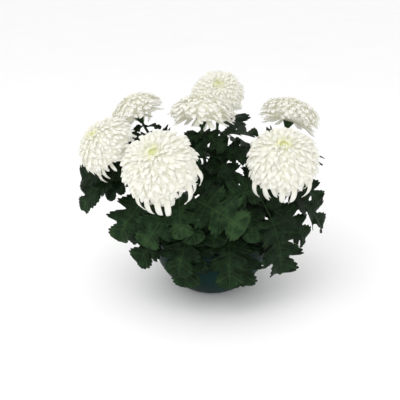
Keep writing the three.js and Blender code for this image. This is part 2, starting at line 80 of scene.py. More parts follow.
# How a petal leaves its root and arrives at its tip is in degrees outwards
# from the line between them, in the eye and when it has opened. The ages at
# which it opens and joins the rim run from 0 in the eye to 1 outside.
PETAL = {"opens": 0.06, "rim": (0.86, 0.94), "leave": (30, -26), "arrive": (-60, 87),
         "lowest": 170, "sweep": 15, "twist": 7, "thick": 0.5, "widest": 0.66,
         "tip_from": 0.76, "least": 0.1, "flute": 0.05, "tucked": 2, "counted_at": 52}
# The cosine of the angle at which a petal's tip lies from the way the bloom
# faces: in the eye, how far it falls to the rim, and the power of its fall.
WINDING = {"first": 0.994, "fall": 1.377, "power": 1.2}
# The folded core: between which angles it reaches, and its rings and folds.
CORE = {"low": 1.62, "high": 0.36, "rings": 24, "sides": 120, "folds": 12, "twist": 0.8,
        "depth": 0.04}
# What differs on a flatter head: how far its outermost petals are strewn and
# raised, how much further they reach, how much wider the petals are, how much
# flatter the outermost ones lie, and how far the core draws in under them.
FLAT = {"strewn": 0.16, "raised": 0.2, "reach": 0.07, "wider": 0.35, "flatter": 0.45,
        "flatter_from": 0.88, "drawn_in": 0.3}
# A single outer petal and the two beside it: degrees aside, share of its
# reach, and width in radii.
STRAY = [(0, 1.0, 0.16), (11, 0.87, 0.13), (-10, 0.8, 0.12)]

# Where the widest ring of petals lies, the way the bloom faces, its radius,
# where its stem leaves the soil, and its strays, the single outer petals:
# bearing round the bloom in degrees, reach and drop in radii. A dome under 1
# is flatter, and the droop is how far down the outermost petals of the head
# turn, in degrees.
BLOOMS = {
    "front_left": {
        "ring": (-74, -118, 242), "facing": (-0.24, -0.556, 0.796), "radius": 55,
        "dome": 1, "droop": 170, "foot": (-14, -22), "seed": 11,
        "strays": [(352, 1.22, 0.30), (18, 1.12, 0.22), (238, 1.02, 0.62),
                   (262, 1.0, 0.66), (284, 1.02, 0.62), (305, 1.08, 0.5)],
    },
    "front_right": {
        "ring": (98, -92, 242), "facing": (-0.07, -0.44, 0.894), "radius": 52,
        "dome": 1, "droop": 170, "foot": (16, -20), "seed": 23,
        "strays": [(215, 1.10, 0.52), (232, 0.98, 0.60), (272, 0.98, 0.56),
                   (300, 1.0, 0.60), (335, 1.1, 0.42)],
    },
    "left": {
        "ring": (-155, -48, 249), "facing": (-0.62, -0.32, 0.72), "radius": 47,
        "dome": 1, "droop": 160, "foot": (-25, -5), "seed": 37, "strays": [(300, 0.98, 0.62)],
    },
    "back_left": {
        "ring": (-119, 44, 276), "facing": (-0.45, 0.2, 0.87), "radius": 42,
        "dome": 0.9, "droop": 115, "foot": (-20, 14), "seed": 41, "strays": [(170, 1.05, 0.4)],
    },
    "back": {
        "ring": (11, 101, 291), "facing": (-0.03, -0.61, 0.79), "radius": 45,
        "dome": 1, "droop": 150, "foot": (4, 25), "seed": 53, "strays": [],
    },
    "middle": {
        "ring": (-16, -17, 288), "facing": (0.0, 0.25, 0.97), "radius": 48,
        "dome": 0.84, "droop": 112, "foot": (2, 2), "seed": 67,
        "strays": [(188, 1.18, 0.14), (262, 0.98, 0.34), (345, 1.04, 0.12)],
    },
    "right": {
        "ring": (124, 40, 269), "facing": (0.28, 0.3, 0.91), "radius": 47,
        "dome": 0.84, "droop": 104, "foot": (21, 11), "seed": 79, "strays": [],
    },
}

# The stem a leaf grows from, how far up it, the tip of the leaf, the length
# of the blade, how much it arches and how far it is rolled.
LEAVES = [
    ("front_left", 0.20, (-42, -122, 54), 80, 0.26, -8),
    ("front_right", 0.20, (6, -128, 56), 80, 0.26, 6),
    ("front_right", 0.24, (46, -112, 56), 78, 0.26, 8),
    ("front_left", 0.58, (46, -128, 150), 92, 0.16, 10),
    ("front_left", 0.66, (-44, -130, 138), 72, 0.22, 0),
    ("front_left", 0.52, (-99, -122, 122), 78, 0.20, -5),
    ("front_left", 0.30, (-113, -97, 79), 78, 0.20, 0),
    ("front_left", 0.26, (-82, -112, 74), 80, 0.24, 0),
    ("front_left", 0.44, (-25, -112, 112), 74, 0.22, 12),
    ("left", 0.50, (-140, -98, 118), 84, 0.20, 0),
    ("left", 0.68, (-157, -64, 170), 56, 0.18, 8),
    ("left", 0.78, (-196, -64, 161), 66, 0.20, 0),
    ("left", 0.32, (-132, -40, 92), 84, 0.20, 0),
    ("left", 0.42, (-112, -66, 150), 64, 0.16, 0),
    ("front_right", 0.58, (103, -92, 58), 92, 0.22, 0),
    ("front_right", 0.46, (146, -58, 90), 80, 0.18, 0),
    ("front_right", 0.70, (10, -96, 178), 66, 0.16, 0),
    ("front_right", 0.34, (84, -92, 70), 66, 0.22, 0),
    ("front_right", 0.40, (58, -112, 122), 62, 0.20, 0),
    ("right", 0.48, (178, -20, 92), 86, 0.18, 0),
    ("right", 0.62, (168, -26, 150), 66, 0.16, 0),
    ("right", 0.82, (84, 4, 258), 40, 0.12, 0),
    ("right", 0.44, (88, -54, 150), 66, 0.14, 0),
    ("right", 0.34, (108, -44, 128), 74, 0.18, 0),
    ("middle", 0.93, (-27, -50, 220), 58, 0.20, 0),
    ("middle", 0.94, (-48, -38, 246), 46, 0.16, 0),
    ("middle", 0.72, (36, -54, 190), 60, 0.20, 0),
    ("middle", 0.86, (74, -4, 250), 66, 0.14, -35),
    ("middle", 0.95, (16, -46, 214), 52, 0.20, 0),
    ("middle", 0.62, (-8, -74, 164), 62, 0.18, 0),
    ("middle", 0.16, (2, -106, 96), 76, 0.22, 0),
    ("middle", 0.66, (-36, -60, 178), 58, 0.18, 0),
    ("back", 0.68, (64, 10, 196), 70, 0.16, 0),
    ("right", 0.70, (54, -26, 168), 66, 0.16, 0),
    ("right", 0.90, (40, -6, 188), 66, 0.14, 0),
    ("middle", 0.80, (50, -10, 206), 62, 0.16, 0),
    ("back", 0.46, (56, -24, 150), 76, 0.16, 0),
    ("back", 0.62, (-46, 30, 232), 62, 0.14, 0),
    ("back_left", 0.80, (-66, -2, 256), 40, 0.12, 0),
    ("back_left", 0.58, (-50, -18, 196), 62, 0.14, 0),
]

# Further leaves round the back and sides: the stem, how many, and the
# bearings of the lowest and highest of them.
SIDE_LEAVES = [("back", 3, 45, 135), ("back_left", 3, 110, 190), ("right", 3, 5, 100),
               ("left", 2, 160, 185)]
SIDE_LEAF = {"lowest": 0.2, "spread": 0.55, "weave": 0.618, "reach": 92, "fall": 34,
             "blade": 82, "arch": 0.22}

# Small young leaves close under a bloom, listed like the grown ones, and the
# number that the first of them has among all leaves.
YOUNG_FROM = 60
YOUNG_LEAVES = [
    ("back_left", 0.95, (-83, 20, 256), 32, 0.14, -35),
    ("back_left", 0.97, (-128, 28, 238), 26, 0.16, -25),
    ("back_left", 0.86, (-120, 12, 238), 28, 0.14, -30),
]

# How a leaf may be lifted (mm) and swung (degrees) to clear its neighbours.
BENDS = [
    (0, 0), (8, 0), (-8, 0), (0, 10), (0, -10), (8, 10), (8, -10), (-8, 10), (-8, -10),
    (16, 0), (-16, 0), (0, 20), (0, -20), (16, 15), (16, -15), (-16, 15), (-16, -15),
    (26, 0), (-26, 0), (26, 25), (26, -25),
]

# A leaf, in shares of its length or half width. Its skin and the groove along
# its rib are in millimetres, and a vein's width is a count along the ribs.
LEAF = {"half_width": 0.37, "fold": 0.22, "ripple": 0.09, "stalk": 0.12, "half_thick": 0.28,
        "teeth": 3.3, "tooth_depth": 0.19, "curl": 0.09, "vein": 0.16, "groove": 0.35,
        "midrib_end": 0.97, "lean": 0.4, "bend_at": 0.55, "bend": 1.6}
# Leaves nearer than this, by the sum of their root's and tip's Y, turn their
# upper sides forward by a share of the way up.
FRONT_LEAVES = {"nearer_than": 60, "turn": -0.5}
# Where the points across a blade lie, from margin to margin.
LEAF_COLUMNS = np.array([-1, -0.82, -0.52, -0.22, 0, 0.22, 0.52, 0.82, 1])

# The margin of half a leaf from its stalk to its tip: a count along the
# ribs (whole numbers are the lobe tips and notches of the solid leaf),
# where the rib leaves the midrib, where it meets the margin, and how far
# out that is, in shares of the blade.
LEAF_MARGIN = [
    (1.00, 0.000, 0.000, 0.06), (1.50, 0.035, 0.030, 0.45), (2.00, 0.110, 0.120, 0.74),
    (2.50, 0.170, 0.235, 0.90), (3.00, 0.240, 0.355, 1.03), (3.30, 0.272, 0.405, 0.92),
    (3.60, 0.300, 0.416, 0.64), (4.00, 0.340, 0.430, 0.44), (4.30, 0.368, 0.486, 0.68),
    (4.60, 0.410, 0.560, 0.91), (5.00, 0.500, 0.665, 1.07), (5.30, 0.540, 0.712, 0.95),
    (5.60, 0.575, 0.711, 0.68), (6.00, 0.620, 0.720, 0.47), (6.35, 0.670, 0.785, 0.61),
    (6.70, 0.725, 0.848, 0.70), (7.00, 0.780, 0.900, 0.69), (7.40, 0.860, 0.962, 0.50),
    (7.70, 0.920, 0.985, 0.28), (8.00, 1.000, 1.000, 0.02),
]
# The count at the tip, and those at which a side vein runs to the margin.
RIBS = 8
SIDE_VEINS = (2.0, 2.55, 3.0, 4.52, 5.0, 6.58, 7.0)

# The stage: the floor in millimetres, the rest in metres.
FLOOR = {"half": 9000, "depth": 10}
LAMPS = {"key": (1.2, (-0.7, -0.7, 1.3)), "fill": (1.4, (0.25, -1.4, 0.62))}
LAMPS_FACE = (0, 0, 0.2)
CAMERA_AT = (-0.019, -0.9, 0.52)


# ---- Small tools ----

def draws(seed):
    """Endless even draws from -1 to 1, the same for the same seed."""
    state = seed
    while True:
        state = (state * 48271) % 2147483647
        yield state / 2147483647 * 2 - 1


def take(draw, count):
    """The next few draws."""
    return np.array([next(draw) for _ in range(count)])


def unit(v):
    """Vectors at length one."""
    v = np.asarray(v, float)
    return v / np.maximum(np.linalg.norm(v, axis=-1, keepdims=True), 1e-12)


def turned(v, axis, degrees):
    """The vector turned about a unit axis."""
    a = math.radians(degrees)
    v, axis = np.asarray(v, float), np.asarray(axis, float)
    return (v * math.cos(a) + np.cross(axis, v) * math.sin(a)
            + axis * np.dot(axis, v) * (1 - math.cos(a)))


def step(low, high, x):
    """A smooth rise from 0 at low to 1 at high."""
    t = np.clip((np.asarray(x, float) - low) / (high - low), 0, 1)
    return t * t * (3 - 2 * t)


def bezier(points, u):
    """Points and unit tangents of a quadratic or cubic curve at each u."""
    points = np.asarray(points, float)
    n = len(points) - 1
    u = np.asarray(u, float)[:, None]
    place = sum(math.comb(n, k) * u ** k * (1 - u) ** (n - k) * points[k] for k in range(n + 1))
    run = sum(math.comb(n - 1, k) * u ** k * (1 - u) ** (n - 1 - k)
              * (points[k + 1] - points[k]) for k in range(n))
    return place, unit(run)


def rounded(table, each):
    """A table of rows filled in by a smooth curve, `each` steps to a row."""
    t = np.asarray(table, float)
    padded = np.vstack([2 * t[0] - t[1], t, 2 * t[-1] - t[-2]])
    out = []
    for i in range(len(t) - 1):
        a, b, c, d = padded[i:i + 4]
        for k in range(each):
            u = k / each
            out.append(0.5 * (2 * b + (c - a) * u + (2 * a - 5 * b + 4 * c - d) * u ** 2
                              + (3 * b - a - 3 * c + d) * u ** 3))
    out.append(t[-1])
    return np.array(out)


def turns(count):
    """Evenly spaced angles once round."""
    return np.linspace(0, 2 * math.pi, count, endpoint=False)


def stacked(*values):
    """Three values, each one number or a grid of them, put together."""
    return np.stack(np.broadcast_arrays(*values), -1)


def spokes(axes, turn):
    """The ways out and round at a turn about the way a bloom faces."""
    level, rise = axes[:2]
    cos, sin = np.cos(turn)[..., None], np.sin(turn)[..., None]
    return level * cos + rise * sin, rise * cos - level * sin


def swept(middle, side, lift, across, up):
    """A grid with a row of points round each middle, across and up from it."""
    side, lift = np.reshape(side, (-1, 1, 3)), np.reshape(lift, (-1, 1, 3))
    return middle[:, None] + side * across[..., None] + lift * up[..., None]


def placed(name, data):
    """A new object in the scene."""
    thing = bpy.data.objects.new(name, data)
    bpy.context.scene.collection.objects.link(thing)
    return thing


class Body:
    """Collects points, faces and per-point values of one piece, in millimetres."""

    def __init__(self, *tags):
        self.points, self.faces, self.count = [], [], 0
        self.values = {tag: [] for tag in tags}

    def add(self, points, faces, **values):
        """Adds one closed part."""
        points = np.reshape(points, (-1, 3))
        for face in faces:
            self.faces.extend((face + self.count).tolist())
        self.points.append(points)
        self.count += len(points)
        for tag, held in self.values.items():
            held.append(np.broadcast_to(np.reshape(values[tag], (-1, 3)), points.shape))

    def slab(self, top, bottom, under=None, **values):
        """Closes two grids of points, one over the other, into a thin sheet.

        `under` holds the values that differ on the lower side."""
        m, n = top.shape[:2]
        index = np.arange(m * n).reshape(m, n)
        quads = np.stack([index[:-1, :-1], index[1:, :-1], index[1:, 1:], index[:-1, 1:]], -1)
        quads = quads.reshape(-1, 4)
        edge = np.concatenate([index[:, 0], index[-1, 1:], index[::-1, -1][1:],
                               index[0, ::-1][1:-1]])
        after = np.roll(edge, -1)
        rim = np.stack([edge, edge + m * n, after + m * n, after], -1)
        lower = {**values, **(under or {})}
        self.add(np.concatenate([top, bottom]), [quads, quads[:, ::-1] + m * n, rim],
                 **{tag: np.concatenate([values[tag], lower[tag]]) for tag in values})

    def tube(self, rings, **values):
        """Skins rings of points, one above the other, and closes both ends."""
        m, n = rings.shape[:2]
        index = np.arange(m * n).reshape(m, n)
        beside = np.roll(index, -1, axis=1)
        quads = np.stack([index[:-1], beside[:-1], beside[1:], index[1:]], -1).reshape(-1, 4)
        self.add(rings, [quads, index[:1, ::-1], index[-1:]], **values)

    def mesh(self, name):
        """The plain mesh, in metres."""
        mesh = bpy.data.meshes.new(name)
        mesh.from_pydata((np.concatenate(self.points) * MM).tolist(), [], self.faces)
        return mesh

    def piece(self, name, material, node):
        """Makes the piece, hangs it on the root, gives it its material and hides the solid it
        replaces.
        """
        mesh = self.mesh(name)
        for tag, held in self.values.items():
            attribute = mesh.attributes.new(tag, "FLOAT_VECTOR", "POINT")
            attribute.data.foreach_set("vector", np.concatenate(held).astype(np.float32).ravel())
        mesh.shade_smooth()
        mesh.materials.append(material)
        if mesh.validate():
            raise RuntimeError(f"{name} has faces that can't be used")
        thing = placed(name, mesh)
        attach(thing, "root")
        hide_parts(node)
        return thing


# ---- Material tools ----

class Finish:
    """A material and short ways to add and join its nodes."""

    def __init__(self, name):
        self.material = bpy.data.materials.new(name)
        self.material.use_nodes = True
        self.tree = self.material.node_tree
        self.shader = self.tree.nodes["Principled BSDF"]

    def node(self, kind, settings=None, **inputs):
        """Adds a node; inputs are numbers, colours or other nodes' sockets."""
        made = self.tree.nodes.new("ShaderNode" + kind)
        for key, value in (settings or {}).items():
            setattr(made, key, value)
        for key, value in inputs.items():
            self.put(made.inputs[int(key[1:]) if key[0] == "_" else key.replace("_", " ")], value)
        return made

    def put(self, socket, value):
        """Sets or links one socket."""
        if isinstance(value, bpy.types.NodeSocket):
            self.tree.links.new(value, socket)
        elif socket.type == "RGBA":
            socket.default_value = (*value, 1)
        else:
            socket.default_value = value

    def set(self, **inputs):
        """Sets or links sockets of the surface shader."""
        for key, value in inputs.items():
            self.put(self.shader.inputs[key.replace("_", " ")], value)

    def skin(self, colour, cloud, spread, least, **inputs):
        """Sets the colour, a roughness that follows a grey value, and the rest."""
        self.set(Base_Color=colour, Roughness=self.math("MULTIPLY_ADD", cloud, spread, least),
                 **inputs)

    def tag(self, name):
        """The three values stored on the mesh under a name, apart."""
        attribute = self.node("Attribute", {"attribute_name": name})
        return self.node("SeparateXYZ", _0=attribute.outputs["Vector"]).outputs

    def math(self, operation, *values):
        """A sum on one to three values."""
        made = self.node("Math", {"operation": operation})
        for socket, value in zip(made.inputs, values):
            self.put(socket, value)
        return made.outputs[0]

    def ramp(self, value, stops):
        """A colour or grey for each value, from (position, colour) stops."""
        made = self.node("ValToRGB", _0=value)
        elements = made.color_ramp.elements
        while len(elements) < len(stops):
            elements.new(1.0)
        for element, (position, colour) in zip(elements, stops):
            element.position = position
            colour = (colour,) * 3 if isinstance(colour, (int, float)) else colour
            element.color = (*colour, 1)
        return made.outputs[0]

    def mix(self, amount, first, second, blend="MIX"):
        """One colour laid over another, by the node's colour sockets."""
        made = self.node("Mix", {"data_type": "RGBA", "blend_type": blend}, _0=amount,
                         _6=first, _7=second)
        return made.outputs[2]

    def noise(self, scale, detail=3.0, where=None):
        """Cloudy grey, at a scale per metre unless `where` says otherwise."""
        where = where or self.node("TexCoord").outputs["Object"]
        return self.node("TexNoise", _0=where, Scale=scale, Detail=detail).outputs[0]

    def bump(self, height, strength, distance):
        """Relief on the surface from a grey value."""
        self.set(Normal=self.node("Bump", Strength=strength, Distance=distance,
                                  Height=height).outputs[0])


def petal_finish(settings):
    """Matt, slightly see-through white with green-yellow at the root and eye, and painted light of
    its own.
    """
    f = Finish("white_petal")
    along, across, age = f.tag("petal")
    by_age = f.ramp(age, [
        (0.0, settings.eye_colour), (0.012, settings.inner_colour),
        (0.05, settings.petal_colour), (1.0, settings.outer_colour)])
    # Yellow-green towards each petal's root: partly the petals' own colour, partly painted warm
    # shade for the gaps between petals, where the roots show.
    by_length = f.ramp(along, [
        (0.0, settings.root_and_gap_shade_colour), (0.5, (0.95, 0.95, 0.80)), (0.85, (1, 1, 0.98))])
    colour = f.mix(1.0, by_age, by_length, "MULTIPLY")
    cloud = f.noise(55.0)
    tint = f.ramp(cloud, [(0.35, (0.95, 0.95, 0.90)), (0.65, (1, 1, 1))])
    colour = f.mix(0.7, colour, tint, "MULTIPLY")
    stripe = f.math("SINE", f.math("MULTIPLY", across, 17.0))
    height = f.math("ADD", f.math("MULTIPLY", stripe, 0.35), f.noise(900.0))
    # Painted light: the petals give off a faint light of their own, tinted like them, which lights
    # the shade between petals.
    f.skin(colour, cloud, 0.25, 0.42, Subsurface_Weight=0.35,
           Subsurface_Radius=(1.0, 0.97, 0.85), Subsurface_Scale=0.004,
           Specular_IOR_Level=0.25, Emission_Strength=settings.painted_glow,
           Emission_Color=f.mix(1.0, by_age, settings.painted_glow_colour, "MULTIPLY"))
    f.bump(height, 0.25, 0.0004)
    return f.material


def floret_finish(settings):
    """The young florets of the eye, greener at the heart, giving off painted light of their own."""
    f = Finish("young_floret")
    along, across, age = f.tag("petal")
    colour = f.mix(1.0, f.ramp(age, [(0.0, settings.eye_colour), (1.0, settings.inner_colour)]),
                   f.ramp(along, [(0.0, (0.88, 0.92, 0.68)), (0.7, (1, 1, 1))]), "MULTIPLY")
    cloud = f.noise(300.0)
    colour = f.mix(f.math("MULTIPLY", cloud, 0.2), colour, (0.62, 0.66, 0.30))
    # Painted light: the florets give off a faint light of their own, in their own colour.
    f.skin(colour, cloud, 0.3, 0.4, Subsurface_Weight=0.25,
           Subsurface_Radius=(1.0, 0.95, 0.6), Subsurface_Scale=0.002,
           Emission_Color=colour, Emission_Strength=settings.painted_glow)
    f.bump(f.math("SINE", f.math("MULTIPLY", across, 9.0)), 0.3, 0.0002)
    return f.material


def leaf_finish(settings):
    """Dark green blade with pale veins, net relief, a greyer underside, and painted light, shade
    and sheen.
    """
    f = Finish("leaf_blade")
    row, _, face = f.tag("leaf")
    long, wide, shade = f.tag("blade")
    spikes = [(0.0, 0.0)]
    for vein in SIDE_VEINS:
        spikes += [((vein - 0.085) / RIBS, 0.0), (vein / RIBS, 1.0), ((vein + 0.085) / RIBS, 0.0)]
    side_vein = f.ramp(f.math("DIVIDE", row, RIBS), spikes)
    midrib = f.ramp(f.math("ABSOLUTE", wide), [(0.0, 1.0), (0.5, 0.8), (1.0, 0.0)])
    vein = f.math("MAXIMUM", midrib, f.math("MULTIPLY", side_vein, 0.75))
    spot = f.node("CombineXYZ", _0=long, _1=wide, _2=shade).outputs[0]
    net = f.node("TexVoronoi", {"feature": "DISTANCE_TO_EDGE"}, _0=spot, Scale=0.36).outputs[0]
    net = f.ramp(net, [(0.0, 0.0), (0.16, 1.0)])
    cloud = f.noise(0.09, 4.0, spot)
    # Painted sheen: a paler band along the midrib, added to the random mottling.
    painted_sheen_by_rib = f.ramp(f.math("DIVIDE", f.math("ABSOLUTE", wide), 16.0), [(0.0, 0.16), (0.8, 0.0)])
    mottle_and_sheen = f.math("MULTIPLY_ADD", cloud, 1.9, f.math("SUBTRACT", painted_sheen_by_rib, 1.06))
    # The shade value holds random tone and painted light together, from the dark colour through the
    # leaf colour to the young colour.
    green = f.ramp(f.math("ADD", shade, mottle_and_sheen), [
        (0.0, settings.dark_colour), (0.5, settings.leaf_colour), (1.0, settings.young_and_lit_colour)])
    green = f.mix(f.math("MULTIPLY", f.math("SUBTRACT", 1.0, net), 0.22), green,
                  settings.vein_colour)
    # Veins show more on lighter leaves, lighter by tone and by painted light.
    paler = f.math("MULTIPLY", vein, f.math("MULTIPLY_ADD", shade, 0.55, 0.14))
    green = f.mix(paler, green, settings.vein_colour)
    under = f.mix(f.math("MULTIPLY", vein, 0.5), settings.under_colour, settings.vein_colour)
    colour = f.mix(f.ramp(face, [(0.45, 0.0), (0.55, 1.0)]), under, green)
    height = f.math("ADD", f.math("MULTIPLY", net, 0.5), f.math("MULTIPLY", vein, -0.9))
    f.skin(colour, cloud, 0.22, 0.38, Specular_IOR_Level=0.06)
    f.bump(height, 0.55, 0.0006)
    return f.material


def stem_finish(settings):
    """Ribbed green stem, paler along its ribs."""
    f = Finish("green_stem")
    around, long, _ = f.tag("stem")
    rib = f.math("SINE", f.math("MULTIPLY", around, 2 * math.pi * 9))
    spot = f.node("CombineXYZ", _0=f.math("MULTIPLY", around, 30.0),
                  _1=f.math("MULTIPLY", long, 0.35)).outputs[0]
    cloud = f.noise(0.35, 4.0, spot)
    colour = f.mix(f.math("MULTIPLY_ADD", rib, 0.18, 0.25), settings.stem_colour,
                   settings.vein_colour)
    colour = f.mix(f.math("MULTIPLY", cloud, 0.5), colour, settings.leaf_colour)
    f.skin(colour, cloud, 0.2, 0.5, Specular_IOR_Level=0.2)
    f.bump(f.math("ADD", rib, cloud), 0.3, 0.0003)
    return f.material


def glaze_finish(settings):
    """Dark blue-green glaze with a soft depth of colour."""
    f = Finish("bowl_glaze")
    cloud = f.noise(14.0, 5.0)
    speck = f.noise(260.0, 2.0)
    colour = f.ramp(cloud, [(0.3, settings.deep_colour), (0.7, settings.glaze_colour)])
    colour = f.mix(f.ramp(speck, [(0.62, 0.0), (0.75, 0.35)]), colour, settings.deep_colour)
    f.skin(colour, cloud, 0.16, 0.36, Specular_IOR_Level=0.05, Coat_Weight=0.02,
           Coat_Roughness=0.15)
    f.bump(f.math("ADD", cloud, f.math("MULTIPLY", speck, 0.15)), 0.12, 0.0012)
    return f.material


def soil_finish(settings):
    """Dark damp peat, darker in the low places of its relief, with paler crumbs."""
    f = Finish("peat_soil")
    coarse, fine = f.noise(90.0, 5.0), f.noise(600.0, 3.0)
    # The noise that raises the relief also colours it: darker in its low places, paler on its
    # highs.
    colour = f.ramp(coarse, [(0.3, settings.low_soil_colour), (0.6, settings.soil_colour),
                             (0.8, settings.crumb_colour)])
    colour = f.mix(f.ramp(fine, [(0.6, 0.0), (0.7, 0.5)]), colour, settings.crumb_colour)
    f.skin(colour, fine, 0.2, 0.78)
    f.bump(f.math("ADD", coarse, f.math("MULTIPLY", fine, 0.6)), 0.8, 0.0015)
    return f.material


def floor_finish(settings):
    """Plain pale studio floor."""
    f = Finish("studio_floor")
    cloud = f.noise(3.0)
    pale = settings.floor_colour
    colour = f.ramp(cloud, [(0.3, [c * 0.985 for c in pale]), (0.7, pale)])
    f.skin(colour, cloud, 0.1, 0.8)
    f.bump(f.noise(40.0), 0.03, 0.001)
    return f.material


# ---- Pot and soil ----

def pot_radius(z):
    """Outer radius of the bowl at a height."""
    swell = 1 - (1 - min(z / POT["full_at"], 1)) ** POT["belly"]
    return POT["foot"] + (POT["rim"] - POT["foot"]) * swell


def lathe(profile, sides):
    """Closed rings round the upright axis from (radius, height) pairs."""
    angle = turns(sides)
    radius, height = np.hsplit(np.asarray(profile, float), 2)
    return stacked(radius * np.cos(angle), radius * np.sin(angle), height)


def bowl_rings(sides):
    """The bowl's section from the middle of its underside to its inner floor."""
    p, wall = POT, POT["wall"]
    outside = [(pot_radius(z), z) for z in np.linspace(4, 84, 24)]
    inside = [(pot_radius(z) - wall, z) for z in np.linspace(86, 9, 24)]
    lip, rim, top = p["rim"] + p["lip"], p["rim"], p["height"]
    foot_inside = p["foot"] - p["ring"]
    section = [
        (0.4, 0), (p["boss"] - 0.6, 0), (p["boss"], 0.4), (p["boss"] + 0.9, p["recess"] - 0.4),
        (p["boss"] + 1.6, p["recess"]), (foot_inside - 1.6, p["recess"]),
        (foot_inside - 0.9, p["recess"] - 0.4), (foot_inside, 0.4), (foot_inside + 0.6, 0),
        (p["foot"] - 1.2, 0), (p["foot"] - 0.2, 0.5), (pot_radius(1.5), 1.8), *outside,
        (lip - 1.6, top - 9.2), (lip - 0.4, top - 8.2), (lip, top - 6.5), (lip, top - 3.2),
        (lip - 0.6, top - 1.6), (lip - 1.8, top - 0.5), (rim + 0.6, top), (rim - 1.0, top - 0.5),
        (rim - 2.0, top - 1.6), (rim - wall, top - 3.4), *inside,
        (pot_radius(5) - wall - 2.5, p["floor"] + 0.9), (pot_radius(5) - wall - 5, p["floor"]),
        (0.4, p["floor"]),
    ]
    return lathe(section, sides)


def cut_drains(bowl):
    """Bores the drain holes through the bowl's floor."""
    tool = Body()
    ends = (-DRAINS["drill"], DRAINS["drill"])
    hole = lathe([(DRAINS["radius"], z) for z in ends], DRAINS["sides"])
    for k in range(DRAINS["count"]):
        turn = (k + 0.5) / DRAINS["count"] * 2 * math.pi
        tool.tube(hole + DRAINS["circle"] * np.array([math.cos(turn), math.sin(turn), 0]))
    drill = placed("drill", tool.mesh("drill"))
    cut = bowl.modifiers.new("drains", "BOOLEAN")
    cut.operation, cut.object, cut.solver = "DIFFERENCE", drill, "EXACT"
    bpy.context.view_layer.update()
    drilled = bpy.data.meshes.new_from_object(bowl.evaluated_get(
        bpy.context.evaluated_depsgraph_get()))
    bowl.modifiers.clear()
    bowl.data = drilled
    bpy.data.objects.remove(drill)


def soil_top(x, y):
    """Height of the lumpy soil at a point."""
    far = math.hypot(x, y) / SOIL["reach"]
    level = SOIL["crown"] + (SOIL["edge"] - SOIL["crown"]) * far ** 1.3
    return level + sum(high * noise.noise(Vector((x * scale, y * scale, at)))
                       for scale, at, high in SOIL_LUMPS)


def soil_rings(sides, rows):
    """The soil from its underside up its wall and over its lumpy top."""
    bottom, wall = POT["floor"] + CLEARANCE, POT["wall"] + CLEARANCE
    edge = SOIL["edge"] - 0.6
    levels = np.linspace(bottom + 4, SOIL["edge"] - 1.5, 12)
    under = [(0.5, bottom), (pot_radius(bottom) - wall - 5.5, bottom)]
    side = [(pot_radius(z) - wall, z) for z in levels]
    widest = pot_radius(SOIL["edge"]) - wall
    top = lathe([(widest * (1 - k / (rows - 0.6)), edge) for k in range(rows)], sides)
    for k, ring in enumerate(top):
        for point in ring:
            point[2] += (soil_top(point[0], point[1]) - edge) * min(1, k / 3)
    return np.concatenate([lathe(under + side, sides), top])


def lump(body, centre, size, draw):
    """One crumb: a small uneven ball of five rings with seven sides."""
    stretch = (1, 1, 0.75) + (0.35, 0.35, 0.2) * take(draw, 3)
    polar = np.radians([[12], [50], [90], [130], [168]])
    angle = turns(7) + take(draw, 5)[:, None]
    rings = stacked(np.sin(polar) * np.cos(angle), np.sin(polar) * np.sin(angle), -np.cos(polar))
    rings = rings * (1 + 0.16 * take(draw, 35).reshape(5, 7, 1))
    body.tube(rings * size * stretch + centre)


# ---- Blooms ----

def bloom_frame(bloom):
    """The bloom's own level, rise and face directions, and its base."""
    face = unit(bloom["facing"])
    level = unit(np.cross((0, 0, 1), face))
    base = np.array(bloom["ring"], float) - HEAD["base"] * bloom["radius"] * face
    return level, np.cross(face, level), face, base


def dome_point(polar, size, dome):
    """Where the head's surface lies at an angle from the way it faces."""
    depth = HEAD["above"] * dome if polar < math.pi / 2 else HEAD["below"]
    crest = HEAD["crest"] * math.exp(-(polar / HEAD["crest_breadth"]) ** 2)
    up = HEAD["base"] + crest + size * depth * math.cos(polar)
    return np.array([size * math.sin(polar), up])


def petal_curve(age, jitter, bloom):
    """Side view of a petal: four (out, up) control points in radii.

    Age runs from 0 in the eye to 1 at the outermost petals. The youngest
    hook in over the eye, the others lie outwards over each other."""
    rim = float(step(*PETAL["rim"], age))
    flat_rim = rim * (bloom["dome"] < 1)
    polar = math.acos(WINDING["first"] - WINDING["fall"] * age ** WINDING["power"])
    polar += (0.1 + FLAT["strewn"] * flat_rim) * jitter[0] - FLAT["raised"] * flat_rim
    size = 1 + 0.035 * jitter[1] + FLAT["reach"] * flat_rim
    tip = dome_point(polar, size, bloom["dome"])
    root = np.array([0.15 * math.sqrt(age), 0.1 * (1 - age)])
    reach = tip - root
    length = np.linalg.norm(reach)
    heading = math.degrees(math.atan2(reach[0], reach[1]))
    opened = float(step(0, PETAL["opens"], age))
    leave = heading + np.interp(opened, (0, 1), PETAL["leave"])
    arrive = heading + np.interp(opened, (0, 1), PETAL["arrive"]) + 16 * opened * jitter[2]
    lowest = PETAL["lowest"] + (bloom["droop"] - PETAL["lowest"]) * rim + 12 * jitter[2]
    leave, arrive = math.radians(leave), math.radians(min(arrive, lowest))
    belly = root + 0.5 * length * np.array([math.sin(leave), math.cos(leave)])
    bend = tip - 0.34 * length * np.array([math.sin(arrive), math.cos(arrive)])
    belly[0] = max(belly[0], 1.1 * HEART["radius"])
    bend[0] = max(bend[0], 1.2 * HEART["radius"])
    return [root, belly, bend, tip]


def stray_curve(reach, drop, curl):
    """A long outer petal that stands out, then hangs and curls."""
    return [(0.15, 0), (0.6, 0.18), (reach * 1.12, 0.12 - 0.3 * drop),
            (reach * (0.92 + 0.08 * curl), -drop)]


